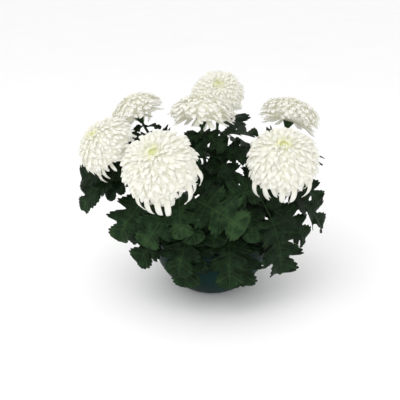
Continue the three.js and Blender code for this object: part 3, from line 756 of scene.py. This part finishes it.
def add_petal(body, axes, curve, radius, turn, width, age, jitter, cup, rows=9, columns=5):
    """One channelled petal with a round tip, as a thin closed sheet."""
    face, base = axes[2:]
    u = 1 - (1 - np.linspace(0, 1, rows + 1)) ** 1.25
    down, across = u[:, None], np.linspace(-1, 1, columns)
    place, run = bezier(curve, u)
    out, round_it = spokes(axes, turn + math.radians(PETAL["sweep"] * jitter[0]) * u ** 1.5)
    inward = face * run[:, :1] - out * run[:, 1:]
    twist = math.radians(PETAL["twist"] * jitter[1]) * down
    side = round_it * np.cos(twist) + inward * np.sin(twist)
    lift = inward * np.cos(twist) - round_it * np.sin(twist)
    tip = np.clip((down - PETAL["tip_from"]) / (1 - PETAL["tip_from"]), 0, 1)
    swell = 0.4 + 0.6 * step(0, PETAL["widest"], down)
    half = width * np.maximum(0.5 * swell * np.sqrt(1 - tip ** 2.5), PETAL["least"])
    middle = base + (out * place[:, :1] + face * place[:, 1:]) * radius
    bowl = across ** 2 * half * cup * (1 - 0.35 * down)
    flute = PETAL["flute"] * width * np.cos(across * math.pi * 1.5) * step(0.1, 0.5, down)
    sheet = swept(middle, side, lift, across * half, bowl + flute)
    thick = PETAL["thick"] * (0.4 + 0.6 * np.sqrt(1 - down)) * (1 - 0.6 * across ** 2)
    skin = lift[:, None] * thick[..., None] / 2
    body.slab(sheet + skin, sheet - skin, petal=stacked(down, across, age))


def add_core(body, axes, bloom, packing):
    """The folded core close under the petals, which stands for those packed inside."""
    face, base = axes[2:]
    angle = turns(CORE["sides"])
    ring = spokes(axes, angle)[0]
    rings = []
    for k, polar in enumerate(np.linspace(CORE["low"], CORE["high"], CORE["rings"])):
        out, up = dome_point(polar, 1, bloom["dome"])
        folds = np.abs(np.sin(CORE["folds"] * angle + CORE["twist"] * k)) ** 0.8 * math.sin(polar)
        snug = packing - FLAT["drawn_in"] * float(step(1.0, 1.6, polar)) * (bloom["dome"] < 1)
        size = bloom["radius"] * (snug + CORE["depth"] * folds)
        rings.append(base + size[:, None] * (out * ring + up * face))
    body.tube(np.array(rings), petal=(0.75, 0, 0.6))


def make_bloom(name, bloom, settings, material):
    """All petals of one head, wound round it by the golden angle.

    Every fourth is shorter and lies tucked under its neighbours."""
    body = Body("petal")
    axes, radius, flat = bloom_frame(bloom), bloom["radius"], bloom["dome"] < 1
    add_core(body, axes, bloom, settings.packing)
    draw = draws(bloom["seed"] * 7 + 3)
    count = round(settings.petal_count * (radius / PETAL["counted_at"]) ** 0.5)
    narrow, broad = settings.inner_width, settings.outer_width
    for k in range(count):
        age = 1 - (k + 0.5) / count
        jitter = take(draw, 7)
        jitter[1] -= PETAL["tucked"] * (k % 4 == 3)
        width = radius * (narrow + (broad - narrow) * math.sqrt(age)) * (1 + 0.12 * jitter[3])
        cup = 0.4 - 0.45 * float(step(0, PETAL["opens"], age))
        if flat:
            width *= 1 + FLAT["wider"] * float(step(0.1, 0.5, age))
            cup -= FLAT["flatter"] * (age > FLAT["flatter_from"])
        add_petal(body, axes, petal_curve(age, jitter, bloom), radius,
                  k * GOLDEN + 0.13 * jitter[4], width, age, jitter[5:], cup)
    for bearing, reach, drop in bloom["strays"]:
        for aside, share, wide in STRAY:
            jitter = take(draw, 3)
            curve = stray_curve(reach * share, drop * share + 0.06 * jitter[2], jitter[0])
            hang = 0.4 * jitter[0] - 1.8 * math.cos(math.radians(bearing))
            turn = math.radians(bearing + aside + 2 * jitter[1])
            add_petal(body, axes, curve, radius, turn, wide * radius, 1.0, (hang, jitter[1]),
                      0.5, rows=14)
    body.piece(f"petals_{name}", material, f"bloom_{name}")


def make_heart(name, bloom, settings, material):
    """The bud of young florets, curled tightly over each other."""
    body = Body("petal")
    level, rise, face, base = bloom_frame(bloom)
    low = HEART["level"] * bloom["dome"] - HEART["half_height"]
    axes = (level, rise, face, base + face * low * bloom["radius"])
    draw = draws(bloom["seed"] * 13 + 5)
    size = HEART["radius"] * bloom["radius"]
    for k in range(settings.floret_count):
        age = 1 - (k + 0.5) / settings.floret_count
        jitter = take(draw, 4)
        polar = 0.2 + 1.25 * age ** 0.7 + 0.06 * jitter[0]
        tip = np.array([0.874 * math.sin(polar) * (0.9 + 0.1 * age), 1.15 + 0.95 * math.cos(polar)])
        root = np.array([0.25 * math.sqrt(age), 0.15])
        curve = [root, root + (0.95 * math.sqrt(age) + 0.1, 0.35),
                 tip + (0.45 * math.sin(polar) + 0.02, 0.1), tip * (1 - 0.12 * age, 1)]
        add_petal(body, axes, curve, size, k * GOLDEN, 0.5 * size, age, jitter[2:], 0.7,
                  rows=8, columns=4)
    body.piece(f"eye_{name}", material, f"heart_{name}")


# ---- Stems and leaves ----

def stem_path(bloom):
    """Control points of the stem above the soil."""
    _, _, face, base = bloom_frame(bloom)
    foot = np.array([*bloom["foot"], SOIL["straight_to"]], float)
    top = base - face * (CALYX["drop"] + CALYX["height"])
    length = np.linalg.norm(top - foot)
    return [foot, foot + (0, 0, STEM["rise"] * length), top - face * STEM["nod"] * length, top]


def leaf_path(root, tip, arch, roll):
    """The leaf's control points and its level side."""
    reach = tip - root
    outward = unit([root[0] + tip[0], root[1] + tip[1], 0])
    front = FRONT_LEAVES["turn"] * (root[1] + tip[1] < FRONT_LEAVES["nearer_than"])
    side = unit(np.cross(reach, outward * LEAF["lean"] + (0, front, 1)))
    side = turned(side, unit(reach), roll)
    lift = np.cross(side, reach)
    bend = root + reach * LEAF["bend_at"] + lift * arch * LEAF["bend"]
    return [root, bend, tip], side


def all_leaves():
    """Every leaf as (stem, share of the way up, tip, blade, arch, roll)."""
    listed = list(LEAVES)
    for name, count, first, last in SIDE_LEAVES:
        for k in range(count):
            up = SIDE_LEAF["lowest"] + SIDE_LEAF["spread"] * k / (count - 1)
            weave = (k * SIDE_LEAF["weave"]) % 1 if count > 2 else k
            bearing = math.radians(first + (last - first) * weave)
            root = bezier(stem_path(BLOOMS[name]), [up])[0][0]
            tip = root + (SIDE_LEAF["reach"] * math.cos(bearing),
                          SIDE_LEAF["reach"] * math.sin(bearing), -SIDE_LEAF["fall"])
            listed.append((name, up, tuple(tip), SIDE_LEAF["blade"], SIDE_LEAF["arch"], 0))
    return listed


def settled_leaves(name):
    """The stem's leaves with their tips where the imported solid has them."""
    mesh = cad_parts[f"stem_{name}"].data
    corners = np.zeros(len(mesh.vertices) * 3)
    mesh.vertices.foreach_get("co", corners)
    corners = corners.reshape(-1, 3) / MM
    settled = []
    for index, (stem, up, tip_at, blade, arch, roll) in enumerate(all_leaves()):
        if stem != name:
            continue
        root = bezier(stem_path(BLOOMS[name]), [up])[0][0]
        for lift, swing in BENDS:
            tip = root + turned(np.array(tip_at) - root, (0, 0, 1), swing) + (0, 0, lift)
            path, side = leaf_path(root, tip, arch, roll)
            normal = np.cross(side, bezier(path, [1.0])[1][0])
            if np.min(np.linalg.norm(corners - (tip + 0.5 * normal), axis=1)) < 0.05:
                settled.append((index, up, path, side, blade))
                break
        else:
            raise RuntimeError(f"leaf {index} isn't on the solid of stem {name}")
    return settled


def add_leaf(body, index, path, side, blade, settings):
    """A lobed, toothed and quilted blade on its stalk and midrib."""
    jitter = take(draws(index * 37 + 11), 5)
    length = np.linalg.norm(path[2] - path[0])
    stalk = max(LEAF["stalk"], 1 - blade / length)
    half_width = LEAF["half_width"] * (1 - stalk) * length
    rib, inner, outer, reach = np.hsplit(rounded(LEAF_MARGIN, 6), 4)
    tooth = np.abs(np.sin(math.pi * LEAF["teeth"] * (rib - 1))) ** 0.7
    flank, far_out = np.sign(LEAF_COLUMNS), np.abs(LEAF_COLUMNS)
    spread = half_width * reach * (1 + LEAF["tooth_depth"] * (tooth - 0.6))
    spread = spread * (1 + 0.05 * jitter[0] * flank * np.sin(rib * 1.7 + jitter[1] * 3))
    along = stalk + (1 - stalk) * (inner + (outer - inner) * far_out ** 1.15)
    along = np.minimum(along, 1.0)
    across = LEAF_COLUMNS * spread
    ripple = LEAF["ripple"] * half_width * np.sin(1.9 * rib + index + flank)
    rise = far_out ** 1.15 * (LEAF["fold"] * spread + ripple)
    vein = sum(np.exp(-((rib - count) / LEAF["vein"]) ** 2) for count in SIDE_VEINS)
    pillow = (1 - np.minimum(vein, 1)) * np.sin(math.pi * far_out) ** 0.8
    rise = rise + settings.quilting / MM * pillow - LEAF["groove"] * np.exp(-(far_out / 0.08) ** 2)
    wave = np.sin(math.pi * rib + 2 * jitter[2] + (1 + jitter[4]) * flank)
    rise = rise + LEAF["curl"] * half_width * far_out ** 2 * (wave - 0.5)
    place, run = bezier(path, along.ravel())
    normal = np.cross(side, run)
    points = place + side * across.reshape(-1, 1) + normal * rise.reshape(-1, 1)
    points, normal = points.reshape(*rise.shape, 3), normal.reshape(*rise.shape, 3)
    skin = normal * LEAF["half_thick"]
    # Painted light: leaves with high tips at the front are lighter, and every leaf is darker
    # towards its stalk, painted shade deep in the plant; the rest of the tone is random.
    above, before = step(60, 160, path[2][2]), step(40, 130, -path[2][1])
    shade = 0.04 + 0.22 * (1 + jitter[3]) + 0.45 * float(above * before)
    body.slab(points + skin, points - skin, under={"leaf": stacked(rib, far_out, 0.0)},
              leaf=stacked(rib, far_out, 1.0),
              blade=stacked(along * length, across, shade * (0.3 + 0.8 * along)))
    add_midrib(body, path, side, stalk, shade)


def add_midrib(body, path, side, stalk, shade):
    """The leaf's stalk and midrib in one tapering tube under the blade."""
    end = LEAF["midrib_end"]
    u = np.concatenate([np.linspace(0, stalk, 8), np.linspace(stalk, end, 14)[1:]])
    place, run = bezier(path, u)
    normal = np.cross(side, run)
    thick = np.interp(u, [0, stalk * 0.3, stalk, end], [2.0, 1.3, 1.25, 0.3])[:, None]
    ring = turns(8)
    rings = swept(place - normal * 0.5 * step(0, stalk, u)[:, None], side, normal,
                  np.cos(ring) * thick, np.sin(ring) * 0.75 * thick)
    far = u[:, None] * np.linalg.norm(path[2] - path[0])
    body.tube(rings, leaf=(0.5, 0.0, 1.0), blade=stacked(far, np.cos(ring) * 0.4, shade))


def add_calyx(body, bloom):
    """A cup of overlapping pointed bracts under the bloom."""
    axes = bloom_frame(bloom)
    face, base = axes[2:]
    top = CALYX["radius"] * bloom["radius"] / CALYX["under"]
    height = CALYX["height"] + CALYX["sink"]
    low = base - face * (CALYX["drop"] + height)

    def cup(share):
        """The radius and the middle of the cup at shares of its height."""
        return top * (0.28 + 0.66 * share ** 1.2), low + face * (height * share)[:, None]

    radii, middles = cup(np.linspace(0, 1, 9))
    rings = middles[:, None] + spokes(axes, turns(24))[0] * radii[:, None, None]
    body.tube(rings, leaf=(0.5, 0.5, 1.0), blade=(0.0, 3.0, 0.6))
    draw = draws(bloom["seed"] + 900)
    u, across = np.linspace(0, 1, 7), np.linspace(-1, 1, 4)
    half = top * 0.3 * np.sqrt(np.maximum(0.01, 1 - u ** 2.5)) * (0.7 + 0.3 * u)
    hollow = across ** 2 * (half ** 2 / (2 * top))[:, None]
    rib = RIBS * u[:, None]
    for tier, (count, start, end) in enumerate(BRACTS):
        radii, middles = cup(start + (end - start) * u)
        radii = radii + 0.35 + 0.9 * u ** 3
        for k in range(count):
            turn = (k + 0.5 * (tier % 2) + 0.1 * next(draw)) / count * 2 * math.pi
            out, round_it = spokes(axes, turn)
            sheet = swept(middles + out * radii[:, None], round_it, -out,
                          across * half[:, None], hollow)
            body.slab(sheet + out * 0.22, sheet - out * 0.22,
                      leaf=stacked(rib, np.abs(across), 1.0),
                      blade=stacked(rib, across * 2.4, 0.75))


def add_stem(body, bloom, leaf_heights):
    """The round, faintly ribbed stem, a little thicker at each leaf."""
    u = np.linspace(0, 1, 60)
    place, run = bezier(stem_path(bloom), u)
    buried = [[*bloom["foot"], z] for z in (SOIL["stem_foot"], STEM["buried_to"])]
    place = np.concatenate([buried, place])
    run = np.concatenate([[(0, 0, 1), (0, 0, 1)], run])
    u = np.concatenate([[0, 0], u])
    across = unit(np.cross((0, 1, 0), run))
    radius = STEM["low"] + (STEM["top"] - STEM["low"]) * u
    for up in leaf_heights:
        radius = radius + STEM["swelling"] * np.exp(-((u - up) / STEM["swelling_length"]) ** 2)
    angle = turns(STEM["sides"])
    ribbed = radius[:, None] * (1 + STEM["rib_depth"] * np.cos(angle * STEM["ribs"]))
    rings = swept(place, across, np.cross(run, across), ribbed * np.sin(angle),
                  ribbed * np.cos(angle))
    far = np.concatenate([[0], np.cumsum(np.linalg.norm(np.diff(place, axis=0), axis=1))])
    value = stacked(angle / (2 * math.pi), far[:, None], u[:, None])
    body.tube(rings[:, ::-1], stem=value[:, ::-1])


def make_stem(name, bloom, settings, blade_finish, bark_finish):
    """One leafy stem: the stem itself, and its leaves and calyx."""
    leaves = settled_leaves(name)
    green = Body("leaf", "blade")
    for index, _, path, side, blade in leaves:
        add_leaf(green, index, path, side, blade, settings)
    young = [leaf for leaf in YOUNG_LEAVES if leaf[0] == name]
    for index, (_, up, tip, blade, arch, roll) in enumerate(young, YOUNG_FROM):
        root = bezier(stem_path(bloom), [up])[0][0]
        path, side = leaf_path(root, np.array(tip, float), arch, roll)
        add_leaf(green, index, path, side, blade, settings)
    add_calyx(green, bloom)
    green.piece(f"leaves_{name}", blade_finish, f"stem_{name}")
    stalk = Body("stem")
    add_stem(stalk, bloom, [up for _, up, *_ in leaves])
    stalk.piece(f"stalk_{name}", bark_finish, f"stem_{name}")


# ---- Settings ----

LENGTH = {"subtype": "DISTANCE", "unit": "LENGTH", "precision": 4}
SHARE = {"subtype": "FACTOR"}


def colour(name, description, default):
    """A colour that can be changed in the panel."""
    return bpy.props.FloatVectorProperty(
        name=name, description=description, default=default, size=3, min=0, max=1,
        subtype="COLOR")


def number(name, description, default, least, most, **kind):
    """A count, size or share that can be changed in the panel."""
    made = bpy.props.IntProperty if isinstance(default, int) else bpy.props.FloatProperty
    return made(name=name, description=description, default=default, min=least, max=most, **kind)


class BowlSettings(bpy.types.PropertyGroup):
    """Glaze and smoothness of the bowl."""

    sides: number("Sides", "Steps round the bowl", 144, 24, 256)
    glaze_colour: colour("Glaze", "Colour of the glaze where it is thin", (0.0045, 0.027, 0.0225))
    deep_colour: colour("Deep glaze", "Colour of the glaze where it pools", (0.0022, 0.013, 0.011))


class SoilSettings(bpy.types.PropertyGroup):
    """Potting soil and its crumbs."""

    crumbs: number("Crumbs", "Loose crumbs on the soil", 420, 0, 900)
    crumb_size: number("Crumb size", "Radius of the largest crumbs", 0.0022, 0.0005, 0.005,
                       **LENGTH)
    soil_colour: colour("Soil", "Colour of the damp soil", (0.022, 0.015, 0.010))
    low_soil_colour: colour("Wet soil", "Colour of the soil in its hollows", (0.008, 0.006, 0.004))
    crumb_colour: colour("Dry crumbs", "Colour of dry fibres and crumbs", (0.075, 0.050, 0.030))


class LeafSettings(bpy.types.PropertyGroup):
    """Leaves and stems."""

    quilting: number("Quilting", "How far the blade swells between its veins", 0.0007, 0.0,
                     0.002, **LENGTH)
    leaf_colour: colour("Leaf", "Upper side of a grown leaf", (0.0072, 0.0210, 0.0083))
    # The dark colour is also painted shade on low and back leaves and near the stalks; the young
    # colour is also painted light on high leaves at the front.
    dark_colour: colour("Dark leaf", "Darkest parts of a grown leaf", (0.0016, 0.0054, 0.0021))
    young_and_lit_colour: colour("Young leaf", "Upper side of a young leaf", (0.024, 0.056, 0.019))
    under_colour: colour("Underside", "Greyer lower side of a leaf", (0.020, 0.035, 0.020))
    vein_colour: colour("Veins", "Ribs and veins", (0.040, 0.074, 0.026))
    stem_colour: colour("Stem", "Skin of the stems", (0.014, 0.032, 0.012))


class BloomSettings(bpy.types.PropertyGroup):
    """Petals and young florets."""

    petal_count: number("Petals", "Petals of a bloom of 52 mm radius", 370, 60, 600)
    floret_count: number("Young florets", "Curled florets in each eye", 42, 10, 90)
    packing: number("Packing", "How far out the petals are packed without gaps", 0.88, 0.5,
                    0.95, **SHARE)
    inner_width: number("Inner petal width", "Width near the eye, in radii of the bloom", 0.085,
                        0.05, 0.4, **SHARE)
    outer_width: number("Outer petal width", "Width at the rim, in radii of the bloom", 0.13,
                        0.05, 0.4, **SHARE)
    petal_colour: colour("Petals", "Open petals", (0.68, 0.678, 0.635))
    outer_colour: colour("Outer petals", "Petals that hang outside", (0.725, 0.724, 0.705))
    inner_colour: colour("Inner petals", "Petals beside the eye", (0.69, 0.69, 0.54))
    eye_colour: colour("Eye", "Youngest florets", (0.67, 0.68, 0.36))
    # Partly the petals' own colour at the root, partly painted warm shade in the gaps between
    # petals.
    root_and_gap_shade_colour: colour("Roots", "Where a petal leaves the head", (0.93, 0.95, 0.74))
    # Painted light: a faint light that petals and florets give off themselves, to light the shade
    # between petals.
    painted_glow_colour: colour("Glow", "Light that has passed through petals", (1.0, 0.97, 0.83))
    painted_glow: number("Glow strength", "How much light the thin petals pass on to each other", 0.18,
                 0.0, 0.4, **SHARE)


class StageSettings(bpy.types.PropertyGroup):
    """Floor, light and camera."""

    floor_colour: colour("Floor", "Plain studio floor", (0.96, 0.96, 0.96))
    key_power: number("Key light", "Power of the large soft light", 7.0, 0, 100, unit="POWER")
    fill_power: number("Fill light", "Power of the light from the front", 4.0, 0, 100,
                       unit="POWER")
    sky: number("Room light", "Even light from all round", 1.0, 0, 10)
    focal_length: number("Focal length", "Of the camera, in millimetres on a 36 mm film", 54.45,
                         10, 300, unit="CAMERA")
    pitch: number("Pitch", "How far the camera looks down", math.radians(22.7), 0,
                  math.radians(90), subtype="ANGLE", unit="ROTATION")


# ---- Operators ----

class PLANT_OT_stage(bpy.types.Operator):
    """Lay the floor and set the lights and the camera"""

    bl_idname = "plant.stage"
    bl_label = "Stage"

    def execute(self, context):
        s = context.scene.plant_stage
        half, body = FLOOR["half"], Body()
        corners = np.array([(-half, -half, 0), (half, -half, 0), (half, half, 0), (-half, half, 0)])
        body.tube(np.array([corners - (0, 0, FLOOR["depth"]), corners]))
        floor = placed("floor", body.mesh("floor"))
        floor.data.materials.append(floor_finish(s))
        world = bpy.data.worlds.new("room")
        world.use_nodes = True
        world.node_tree.nodes["Background"].inputs[0].default_value = (1, 1, 1, 1)
        world.node_tree.nodes["Background"].inputs[1].default_value = s.sky
        context.scene.world = world
        for name, power in (("key", s.key_power), ("fill", s.fill_power)):
            lamp = bpy.data.lights.new(name, "AREA")
            lamp.size, place = LAMPS[name]
            lamp.energy = power
            thing = placed(name, lamp)
            thing.location = place
            aim = Vector(LAMPS_FACE) - thing.location
            thing.rotation_euler = aim.to_track_quat("-Z", "Y").to_euler()
        camera = bpy.data.cameras.new("camera")
        camera.lens = s.focal_length
        eye = placed("camera", camera)
        eye.location = CAMERA_AT
        eye.rotation_euler = (math.pi / 2 - s.pitch, 0, 0)
        context.scene.camera = eye
        context.scene.view_settings.view_transform = "Standard"
        return {"FINISHED"}


class PLANT_OT_bowl(bpy.types.Operator):
    """Throw the glazed bowl with its foot, rolled rim and drain holes"""

    bl_idname = "plant.bowl"
    bl_label = "Bowl"

    def execute(self, context):
        s = context.scene.plant_bowl
        body = Body()
        body.tube(bowl_rings(s.sides))
        bowl = body.piece("glazed_bowl", glaze_finish(s), "pot")
        cut_drains(bowl)
        return {"FINISHED"}


class PLANT_OT_soil(bpy.types.Operator):
    """Fill the bowl with lumpy soil and strew crumbs on it"""

    bl_idname = "plant.soil"
    bl_label = "Soil"

    def execute(self, context):
        s = context.scene.plant_soil
        body = Body()
        body.tube(soil_rings(SOIL["sides"], SOIL["rows"]))
        draw = draws(CRUMBS["seed"])
        for _ in range(s.crumbs):
            turn, far = math.pi * next(draw), CRUMBS["reach"] * math.sqrt(abs(next(draw)))
            x, y = far * math.cos(turn), far * math.sin(turn)
            size = s.crumb_size / MM * (0.45 + 0.55 * abs(next(draw)))
            lump(body, np.array([x, y, soil_top(x, y) + 0.15 * size]), size, draw)
        body.piece("potting_soil", soil_finish(s), "soil")
        return {"FINISHED"}


class PLANT_OT_stems(bpy.types.Operator):
    """Grow the seven stems with their leaves and calyxes"""

    bl_idname = "plant.stems"
    bl_label = "Leafy stems"

    def execute(self, context):
        s = context.scene.plant_leaf
        blade, bark = leaf_finish(s), stem_finish(s)
        for name, bloom in BLOOMS.items():
            make_stem(name, bloom, s, blade, bark)
        return {"FINISHED"}


class PLANT_OT_blooms(bpy.types.Operator):
    """Grow the seven heads of petals"""

    bl_idname = "plant.blooms"
    bl_label = "Blooms"

    def execute(self, context):
        s = context.scene.plant_bloom
        material = petal_finish(s)
        for name, bloom in BLOOMS.items():
            make_bloom(name, bloom, s, material)
        return {"FINISHED"}


class PLANT_OT_hearts(bpy.types.Operator):
    """Grow the young florets in the eye of each bloom"""

    bl_idname = "plant.hearts"
    bl_label = "Eyes"

    def execute(self, context):
        s = context.scene.plant_bloom
        material = floret_finish(s)
        for name, bloom in BLOOMS.items():
            make_heart(name, bloom, s, material)
        return {"FINISHED"}


class PLANT_PT_panel(bpy.types.Panel):
    """Lists the pieces and their settings"""

    bl_label = "Pot Chrysanthemum"
    bl_idname = "PLANT_PT_panel"
    bl_space_type = "VIEW_3D"
    bl_region_type = "UI"
    bl_category = "Chrysanthemum"

    def draw(self, context):
        scene = context.scene
        for settings, operators in (
                (scene.plant_stage, ("plant.stage",)), (scene.plant_bowl, ("plant.bowl",)),
                (scene.plant_soil, ("plant.soil",)), (scene.plant_leaf, ("plant.stems",)),
                (scene.plant_bloom, ("plant.blooms", "plant.hearts"))):
            box = self.layout.box()
            for name in settings.__annotations__:
                box.prop(settings, name)
            for operator in operators:
                box.operator(operator)


GROUPS = {"plant_stage": StageSettings, "plant_bowl": BowlSettings, "plant_soil": SoilSettings,
          "plant_leaf": LeafSettings, "plant_bloom": BloomSettings}
PARTS = (PLANT_OT_stage, PLANT_OT_bowl, PLANT_OT_soil, PLANT_OT_stems, PLANT_OT_blooms,
         PLANT_OT_hearts, PLANT_PT_panel)


def register():
    """Adds the settings, operators and panel."""
    for made in (*GROUPS.values(), *PARTS):
        bpy.utils.register_class(made)
    for name, group in GROUPS.items():
        setattr(bpy.types.Scene, name, bpy.props.PointerProperty(type=group))


def unregister():
    """Takes them away again."""
    for name in GROUPS:
        delattr(bpy.types.Scene, name)
    for made in reversed((*GROUPS.values(), *PARTS)):
        bpy.utils.unregister_class(made)


def main():
    """Makes every piece."""
    register()
    bpy.ops.plant.stage()
    bpy.ops.plant.bowl()
    bpy.ops.plant.soil()
    bpy.ops.plant.stems()
    bpy.ops.plant.blooms()
    bpy.ops.plant.hearts()


if __name__ == "__main__":
    main()
